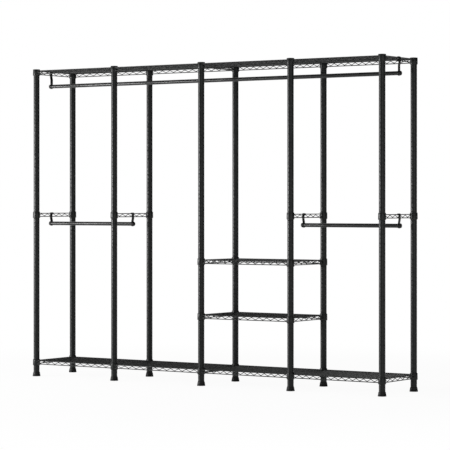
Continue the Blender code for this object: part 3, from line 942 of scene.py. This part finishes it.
class RACK_OT_posts(Operator):
    """Make the ten grooved tubes and the threaded inserts in their foot ends"""

    bl_idname = "clothes_rack.posts"
    bl_label = "Posts"

    def execute(self, context):
        post = settings().posts
        low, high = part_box("post_front_1")
        radius = post.diameter / 2
        shelf = middle_of("bottom_shelf_left").z
        first = shelf - post.grooves_below_shelf * post.groove_pitch
        sizes = {
            "Radius": radius,
            "Bottom": low.z,
            "Top": high.z,
            "First Groove": first,
            "Groove Pitch": post.groove_pitch,
            "Groove Width": post.groove_width,
            "Groove Depth": post.groove_depth,
            "Grooves": int((high.z - post.groove_width - first) / post.groove_pitch) + 1,
        }
        tube_mesh = shaped("Grooved post", sizes, "powder_coat")
        tube_mesh = with_inner_wall(tube_mesh, (radius - post.wall) / radius)
        bore = settings().feet.stem_diameter / 2 + settings().rods.fit
        outer = radius - post.wall - settings().rods.fit * INSERT_FIT
        top = low.z + post.insert_height
        profile = ring_profile(bore, outer, low.z, top, post.groove_depth)
        insert = turned(profile, "moulded_plastic")
        for label, place in post_places():
            node = "post_" + label
            add_piece(node + "_tube", node, (tube_mesh, place))
            add_piece(node + "_insert", node, (insert, place))
        return {"FINISHED"}


class RACK_OT_post_caps(Operator):
    """Make the caps in the tops of the posts"""

    bl_idname = "clothes_rack.post_caps"
    bl_label = "Post caps"

    def execute(self, context):
        post = settings().posts
        fit = settings().rods.fit
        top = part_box("post_cap_front_1")[1].z
        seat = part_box("post_front_1")[1].z + fit
        radius = post.diameter / 2
        flat = radius * POST_CAP_FLAT
        plug = radius - post.wall - fit
        profile = cap_profile(top, seat, radius, flat, post.cap_rim, plug, post.cap_plug)
        cap = turned(profile, "moulded_plastic")
        for label, place in post_places():
            add_piece("cap_plug_" + label, "post_cap_" + label, (cap, place))
        return {"FINISHED"}


class RACK_OT_feet(Operator):
    """Make the levelling feet and their threaded stems"""

    bl_idname = "clothes_rack.feet"
    bl_label = "Feet"

    def execute(self, context):
        foot = settings().feet
        pad = turned(foot_profile(), "moulded_plastic")
        low = foot.height - HIDDEN_TURNS * foot.thread_pitch
        high = FOOT_SIZE.z
        turns = (high - low) / foot.thread_pitch
        sizes = {
            "Radius": foot.stem_diameter / 2,
            "Bottom": low,
            "Top": high,
            "Pitch": foot.thread_pitch,
            "Depth": foot.thread_depth,
            "Count": int(turns * RINGS_PER_THREAD) + 1,
        }
        stem = shaped("Threaded stem", sizes, "zinc_plate")
        for label, place in post_places():
            node = "foot_" + label
            add_piece(node + "_pad", node, (pad, place))
            add_piece(node + "_stem", node, (stem, place))
        return {"FINISHED"}


class RACK_OT_shelves(Operator):
    """Make the six wire shelves with their collars and sleeves"""

    bl_idname = "clothes_rack.shelves"
    bl_label = "Shelves"

    def execute(self, context):
        for node, (posts, side) in SHELVES.items():
            level = middle_of(node).z
            add_piece(node + "_wires", node, *shelf_wires(posts, side, level))
            add_collars(node, posts, level, side)
        return {"FINISHED"}


class RACK_OT_side_frames(Operator):
    """Make the four side frames that the lower rods hang from"""

    bl_idname = "clothes_rack.side_frames"
    bl_label = "Side frames"

    def execute(self, context):
        wires = settings().wires
        for post, side in SIDE_FRAMES.items():
            node = f"side_frame_{post}"
            level = middle_of(node).z
            x = POST_X[post] + side * wires.truss_offset
            add_piece(node + "_wires", node, cross_truss(x, wires.truss_offset, level))
            add_collars(node, (post,), level, WHOLE)
        return {"FINISHED"}


class RACK_OT_rods(Operator):
    """Make the three hanging rods"""

    bl_idname = "clothes_rack.rods"
    bl_label = "Rods"

    def execute(self, context):
        rod = settings().rods
        radius = rod.diameter / 2
        for node in RODS:
            place = middle_of(node)
            half = extent_of(node).x / 2
            edge = rod.wall * ROD_EDGE
            mesh = turned(ring_profile(radius - rod.wall, radius, -half, half, edge), "rod_coat")
            lying = Matrix.Translation(place) @ Matrix.Rotation(math.pi / 2, 4, "Y")
            add_piece(node + "_tube", node, (mesh, lying))
        return {"FINISHED"}


class RACK_OT_rod_caps(Operator):
    """Make the rounded caps on the rods' ends"""

    bl_idname = "clothes_rack.rod_caps"
    bl_label = "Rod caps"

    def execute(self, context):
        size = settings().rods
        head = size.cap_diameter / 2
        flat = head * ROD_CAP_FLAT
        dome = size.cap_length * ROD_CAP_DOME
        plug = size.diameter / 2 - size.wall - size.fit
        top = size.fit + size.cap_length
        profile = cap_profile(top, size.fit, head, flat, dome, plug, size.cap_plug)
        cap = turned(profile, "moulded_plastic")
        for rod in RODS:
            low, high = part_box(rod)
            place = middle_of(rod)
            for word, side, x in (("left", LEFT, low.x), ("right", RIGHT, high.x)):
                facing = shift(x, place.y, place.z) @ Matrix.Rotation(side * math.pi / 2, 4, "Y")
                add_piece(f"{rod}_end_cap_{word}", f"{rod}_cap_{word}", (cap, facing))
        return {"FINISHED"}


class RACK_OT_hangers(Operator):
    """Make the six hangers: a strap bent over a wire and a ring round the rod"""

    bl_idname = "clothes_rack.hangers"
    bl_label = "Hangers"

    def execute(self, context):
        rod = settings().rods
        bore = rod.diameter / 2 + rod.fit
        half = rod.ring_length / 2
        outer = bore + rod.ring_wall
        ring = turned(ring_profile(bore, outer, -half, half, rod.ring_edge), "powder_coat")
        sizes = {
            "Width": rod.strap_width,
            "Thickness": rod.strap_thickness,
            "Edge": rod.strap_edge,
            "Bend": rod.strap_bend,
        }
        for name in RODS:
            low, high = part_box(name)
            place = middle_of(name)
            carrier = "side_frame_1" if name != "top_rod" else "top_shelf_left"
            wire = middle_of(carrier).z + settings().wires.truss_height / 2
            for word, side, x in (("left", LEFT, low.x + half), ("right", RIGHT, high.x - half)):
                post_x = min(POST_X.values(), key=lambda post: abs(post - x))
                path = strap_path(side, post_x, place, wire)
                strap = shaped("Bent strap", sizes, "powder_coat", path)
                lying = shift(x, place.y, place.z) @ Matrix.Rotation(math.pi / 2, 4, "Y")
                node = f"{name}_hanger_{word}"
                add_piece(node + "_strap", node, (strap, Matrix.Identity(4)), (ring, lying))
        return {"FINISHED"}


def eased(tree, value, low, high, start):
    """Rises smoothly from a start to 1 while the value goes from low to high."""
    sockets = {"Value": value, "From Min": low, "From Max": high, "To Min": start}
    return result(tree, "ShaderNodeMapRange", sockets, interpolation_type="SMOOTHSTEP")


def light_world():
    """White where it is seen, dim in front where it is mirrored, soft and plain otherwise."""
    world = bpy.data.worlds.new("studio")
    world.use_nodes = True
    tree = world.node_tree
    look = settings().stage
    rays = add_node(tree, "ShaderNodeLightPath").outputs
    seen = calc(tree, "MAXIMUM", rays["Is Camera Ray"], rays["Is Transmission Ray"])
    way = add_node(tree, "ShaderNodeTexCoord").outputs["Generated"]
    facing = {0: way, 1: BACKDROP_SIDE}
    facing = add_node(tree, "ShaderNodeVectorMath", facing, operation="DOT_PRODUCT").outputs["Value"]
    mirrored = eased(tree, facing, BACKDROP_EDGE, 1.0, look.dim)
    gain = calc(tree, "SUBTRACT", mirrored, look.ambient)
    strength = calc(tree, "MULTIPLY_ADD", gain, rays["Is Glossy Ray"], look.ambient)
    strength = calc(tree, "MULTIPLY_ADD", seen, 1.0 - look.ambient, strength)
    background = tree.nodes["Background"]
    background.inputs["Color"].default_value = (1.0, 1.0, 1.0, 1.0)
    tree.links.new(strength, background.inputs["Strength"])
    bpy.context.scene.world = world


def floor_finish():
    """Pale floor that keeps a faint shadow and fades into the white backdrop further out."""
    finish = bpy.data.materials.new("studio_floor")
    finish.use_nodes = True
    tree = finish.node_tree
    tree.nodes.clear()
    look = settings().stage
    plain = result(tree, "ShaderNodeBsdfDiffuse", {"Color": (*look.floor, 1.0)})
    white = result(tree, "ShaderNodeEmission", {"Strength": 1.0})
    place = add_node(tree, "ShaderNodeTexCoord").outputs["Object"]
    away = add_node(tree, "ShaderNodeVectorMath", {0: place}, operation="LENGTH").outputs["Value"]
    fade = eased(tree, away, FADE_START, FADE_END, look.backdrop_share)
    rays = add_node(tree, "ShaderNodeLightPath").outputs
    seen = calc(tree, "MAXIMUM", rays["Is Camera Ray"], rays["Is Glossy Ray"])
    seen = calc(tree, "MAXIMUM", seen, rays["Is Transmission Ray"])
    share = calc(tree, "MULTIPLY", seen, fade)
    mixed = result(tree, "ShaderNodeMixShader", {0: share, 1: plain, 2: white})
    add_node(tree, "ShaderNodeOutputMaterial", {"Surface": mixed})
    return finish


def add_lamp(name, place, span, power):
    """A soft wide lamp that faces the rack's middle."""
    lamp = bpy.data.lights.new(name, "AREA")
    lamp.shape = "RECTANGLE"
    lamp.size, lamp.size_y = span
    lamp.energy = power
    obj = bpy.data.objects.new(name, lamp)
    obj.location = place
    obj.rotation_euler = (Vector(LAMP_AIM) - Vector(place)).to_track_quat("-Z", "Y").to_euler()
    bpy.context.scene.collection.objects.link(obj)


def add_camera():
    """The photo's view: level, with the horizon above the middle of the frame."""
    camera = bpy.data.cameras.new("photo_camera")
    camera.sensor_width = SENSOR_WIDTH
    camera.lens = SENSOR_WIDTH * FOCAL_PIXELS / PHOTO_PIXELS
    camera.shift_y = (HORIZON_ROW - PHOTO_PIXELS / 2) / PHOTO_PIXELS
    obj = bpy.data.objects.new("photo_camera", camera)
    obj.location = CAMERA_PLACE
    obj.rotation_euler = (math.pi / 2, 0.0, CAMERA_TURN)
    bpy.context.scene.collection.objects.link(obj)
    bpy.context.scene.camera = obj


class RACK_OT_stage(Operator):
    """Make the floor, the lamps, the world and the camera"""

    bl_idname = "clothes_rack.stage"
    bl_label = "Stage"

    def execute(self, context):
        look = settings().stage
        light_world()
        build = bmesh.new()
        cells = FLOOR_CELLS
        bmesh.ops.create_grid(build, x_segments=cells, y_segments=cells, size=FLOOR_REACH)
        mesh = bpy.data.meshes.new("studio_floor")
        build.to_mesh(mesh)
        build.free()
        mesh.materials.append(floor_finish())
        floor = bpy.data.objects.new("studio_floor", mesh)
        context.scene.collection.objects.link(floor)
        add_lamp("key_lamp", KEY_PLACE, KEY_SPAN, look.key)
        add_lamp("fill_lamp", FILL_PLACE, FILL_SPAN, look.fill)
        add_camera()
        context.scene.view_settings.view_transform = "Standard"
        return {"FINISHED"}


STEPS = (
    RACK_OT_posts,
    RACK_OT_post_caps,
    RACK_OT_feet,
    RACK_OT_shelves,
    RACK_OT_side_frames,
    RACK_OT_rods,
    RACK_OT_rod_caps,
    RACK_OT_hangers,
    RACK_OT_stage,
)


class RACK_PT_panel(Panel):
    """The rack's steps and sizes in the 3D view's sidebar"""

    bl_label = "Clothes rack"
    bl_idname = "RACK_PT_panel"
    bl_space_type = "VIEW_3D"
    bl_region_type = "UI"
    bl_category = "Clothes rack"

    def draw(self, context):
        for step in STEPS:
            self.layout.operator(step.bl_idname)
        rack = context.scene.clothes_rack
        for key in RackSettings.__annotations__:
            group = getattr(rack, key)
            box = self.layout.box()
            box.label(text=group.bl_rna.description)
            for name in group.bl_rna.properties.keys():
                if name not in ("rna_type", "name"):
                    box.prop(group, name)


GROUPS = (
    PostSizes,
    WireSizes,
    CollarSizes,
    FootSizes,
    RodSizes,
    Finishes,
    StageSettings,
    RackSettings,
)


def register():
    for kind in (*GROUPS, *STEPS, RACK_PT_panel):
        bpy.utils.register_class(kind)
    bpy.types.Scene.clothes_rack = PointerProperty(type=RackSettings)


def unregister():
    del bpy.types.Scene.clothes_rack
    for kind in reversed((*GROUPS, *STEPS, RACK_PT_panel)):
        bpy.utils.unregister_class(kind)


def main():
    register()
    bpy.ops.clothes_rack.posts()
    bpy.ops.clothes_rack.post_caps()
    bpy.ops.clothes_rack.feet()
    bpy.ops.clothes_rack.shelves()
    bpy.ops.clothes_rack.side_frames()
    bpy.ops.clothes_rack.rods()
    bpy.ops.clothes_rack.rod_caps()
    bpy.ops.clothes_rack.hangers()
    bpy.ops.clothes_rack.stage()


if __name__ == "__main__":
    main()
